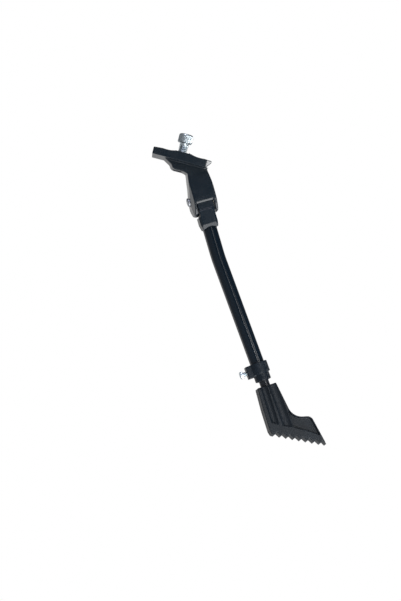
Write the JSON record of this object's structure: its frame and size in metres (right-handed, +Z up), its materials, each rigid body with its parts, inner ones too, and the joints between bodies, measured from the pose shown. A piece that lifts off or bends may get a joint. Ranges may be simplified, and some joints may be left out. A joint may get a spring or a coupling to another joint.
{
  "type": "bicycle kickstand",
  "caption": "Black height-adjustable centre-mount bicycle kickstand: bolted plate with a sprung over-centre pivot, bent tubular leg, clamp collar and toothed angled foot.",
  "frame": {"origin": "axis of the mounting bolt on the top face of the mounting plate", "axes": "+Z up along the mounting bolt, +X outboard where the deployed leg leans, +Y to the rear of the bicycle where the leg swings when stowed"},
  "size_m": [0.2672, 0.038, 0.3004],
  "materials": {
    "mount_bracket": "cast alloy, gloss black paint",
    "mount_bolt": "zinc plated",
    "pivot_pin": "zinc plated",
    "pin_washer": "zinc plated",
    "thrust_washer_inboard": "natural polymer",
    "thrust_washer_outboard": "natural polymer",
    "anchor_pin": "plain steel",
    "upper_spring_seat": "plain steel",
    "toggle_spring": "spring steel",
    "lower_spring_seat": "plain steel",
    "leg_head": "cast alloy, gloss black paint",
    "pivot_bush": "sintered bronze",
    "toggle_pin": "plain steel",
    "leg_tube": "alloy tube, gloss black paint",
    "tube_pin": "blackened steel",
    "height_collar": "grained black nylon",
    "clamp_nut": "zinc plated",
    "set_screw": "zinc plated",
    "tube_bush": "black nylon",
    "inner_rod": "alloy rod, gloss black paint",
    "rod_guide": "natural polymer",
    "foot": "satin black nylon",
    "foot_pin": "blackened steel"
  },
  "bodies": {
    "bracket": {"mount_bracket": "mount_bracket", "pivot_pin": "pivot_pin", "pin_washer": "pin_washer", "thrust_washer_inboard": "thrust_washer_inboard", "thrust_washer_outboard": "thrust_washer_outboard", "anchor_pin": "anchor_pin"},
    "bolt": {"mount_bolt": "mount_bolt"},
    "spring_link": {"upper_spring_seat": "upper_spring_seat", "toggle_spring": "toggle_spring"},
    "spring_cup": {"lower_spring_seat": "lower_spring_seat"},
    "leg": {"leg_head": "leg_head", "pivot_bush": "pivot_bush", "toggle_pin": "toggle_pin", "leg_tube": "leg_tube", "tube_pin": "tube_pin", "height_collar": "height_collar", "clamp_nut": "clamp_nut", "tube_bush": "tube_bush"},
    "screw": {"set_screw": "set_screw"},
    "slider": {"inner_rod": "inner_rod", "rod_guide": "rod_guide", "foot": "foot", "foot_pin": "foot_pin"}
  },
  "joints": [
    {"name": "leg_pivot", "type": "hinge", "parent": "bracket", "child": "leg", "pos_m": [0.033, 0, -0.0434], "axis": [0.8616, 0, 0.5075], "range_deg": [0, 95], "deforming": ["toggle_spring"]},
    {"name": "spring_link_swing", "type": "hinge", "parent": "bracket", "child": "spring_link", "pos_m": [0.01957, 0, -0.01765], "axis": [0.8616, 0, 0.5075], "range_deg": [-33, 0.5]},
    {"name": "spring_cup_swing", "type": "hinge", "parent": "leg", "child": "spring_cup", "pos_m": [0.03121, 0.00664, -0.0374], "axis": [0.8616, 0, 0.5075], "range_deg": [-128, 0.5]},
    {"name": "foot_slide", "type": "slide", "parent": "leg", "child": "slider", "axis": [0.565, 0, -0.8251], "range_m": [-0.006, 0.045]},
    {"name": "set_screw_turn", "type": "hinge", "parent": "leg", "child": "screw", "pos_m": [0.14172, 0, -0.21031], "axis": [0.8251, 0, 0.565], "continuous": true},
    {"name": "mount_bolt_travel", "type": "slide", "parent": "bracket", "child": "bolt", "axis": [0, 0, 1], "range_m": [-0.0115, 0.01]}
  ],
  "couplings": [
    {"joint": "spring_link_swing", "follows": "leg_pivot", "ratio": -0.33994},
    {"joint": "spring_cup_swing", "follows": "leg_pivot", "ratio": -1.3399}
  ]
}
